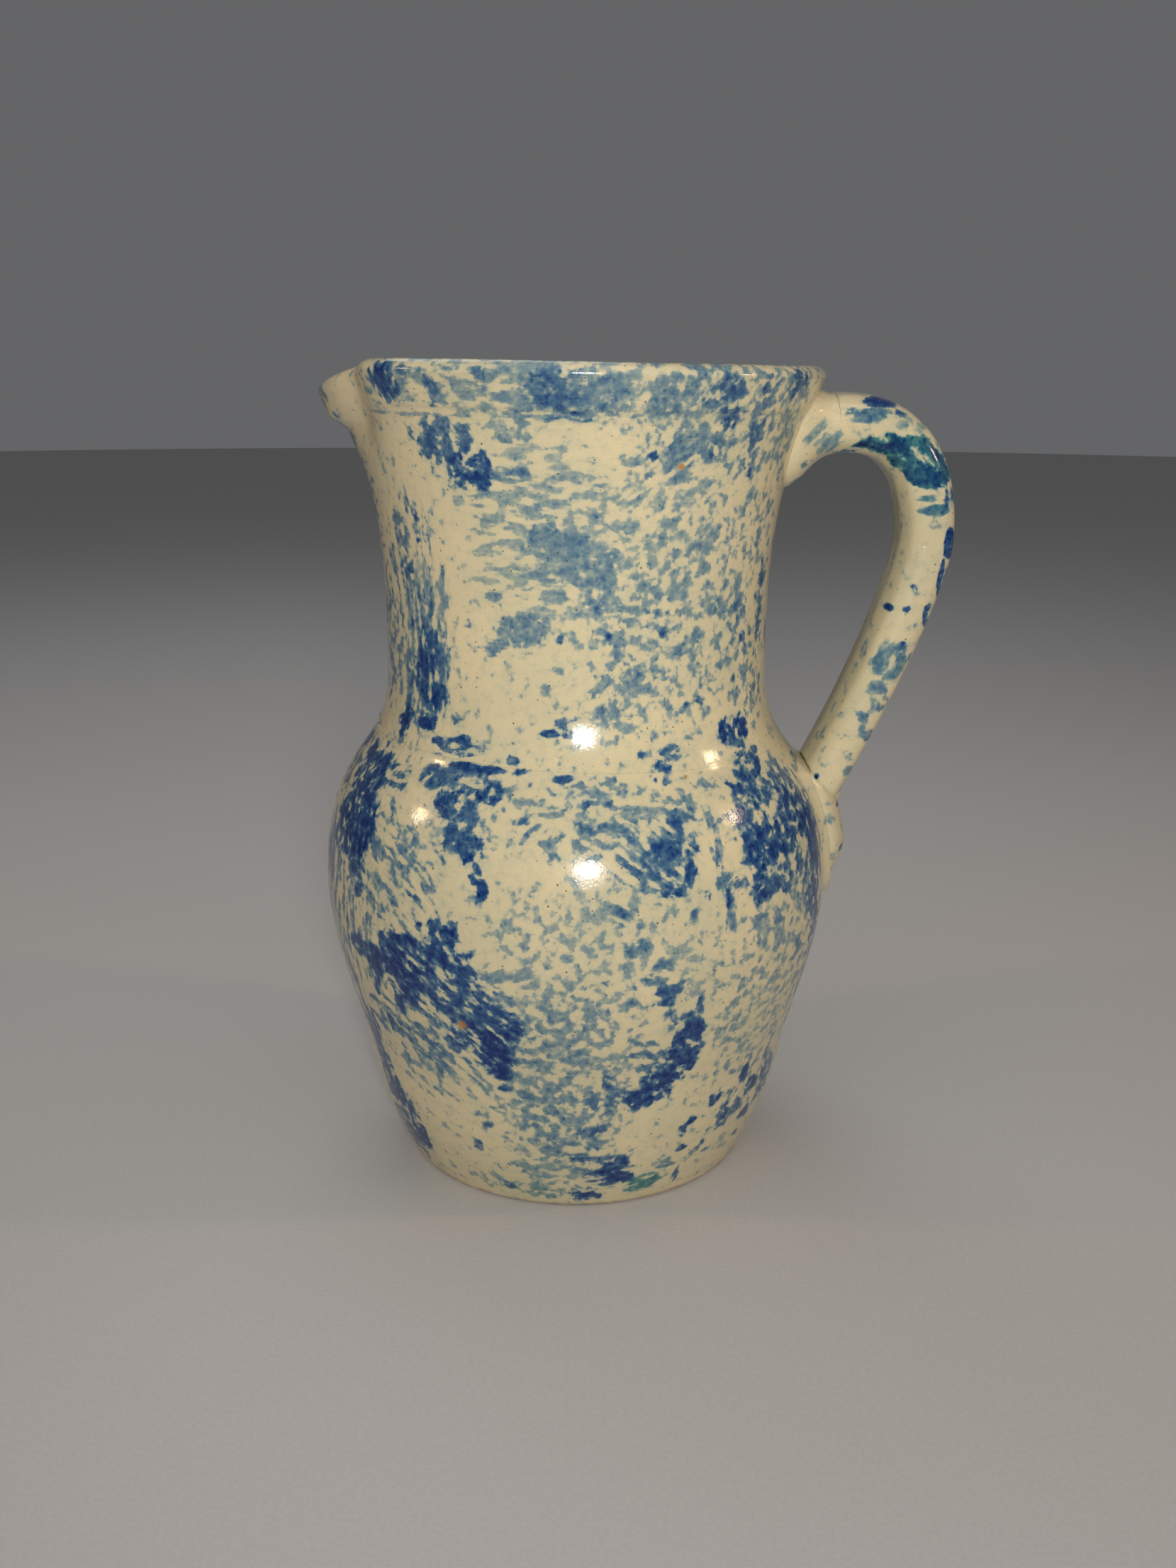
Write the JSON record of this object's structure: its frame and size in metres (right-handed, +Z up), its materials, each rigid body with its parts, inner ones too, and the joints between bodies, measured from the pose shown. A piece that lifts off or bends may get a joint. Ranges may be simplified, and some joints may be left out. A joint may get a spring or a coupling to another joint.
{
  "type": "stoneware pitcher",
  "caption": "Stoneware pitcher with a full belly, narrow waist, flared neck, pulled pouring lip and strap handle, sponged in cobalt blue under a glossy cream glaze.",
  "frame": {"origin": "centre of the flat foot, on the surface the pitcher stands on", "axes": "+Z up along the body's axis, +X towards the handle, -X towards the pouring lip, +Y across"},
  "size_m": [0.1783, 0.146, 0.2294],
  "materials": {
    "sponged_glaze": "glossy cream glaze over sponged cobalt blue",
    "handle_glaze": "glossy cream glaze with broad blue dabs",
    "bare_clay": "dry unglazed buff stoneware underneath, cream glaze on its upper face"
  },
  "bodies": {
    "root": {"foot_floor": "bare_clay", "belly_wall": "sponged_glaze", "neck_wall": "sponged_glaze", "rim_and_spout": "sponged_glaze", "handle_strap": "handle_glaze", "handle_top_lute": "handle_glaze", "handle_tail": "handle_glaze", "handle_bottom_lute": "handle_glaze"}
  },
  "joints": []
}
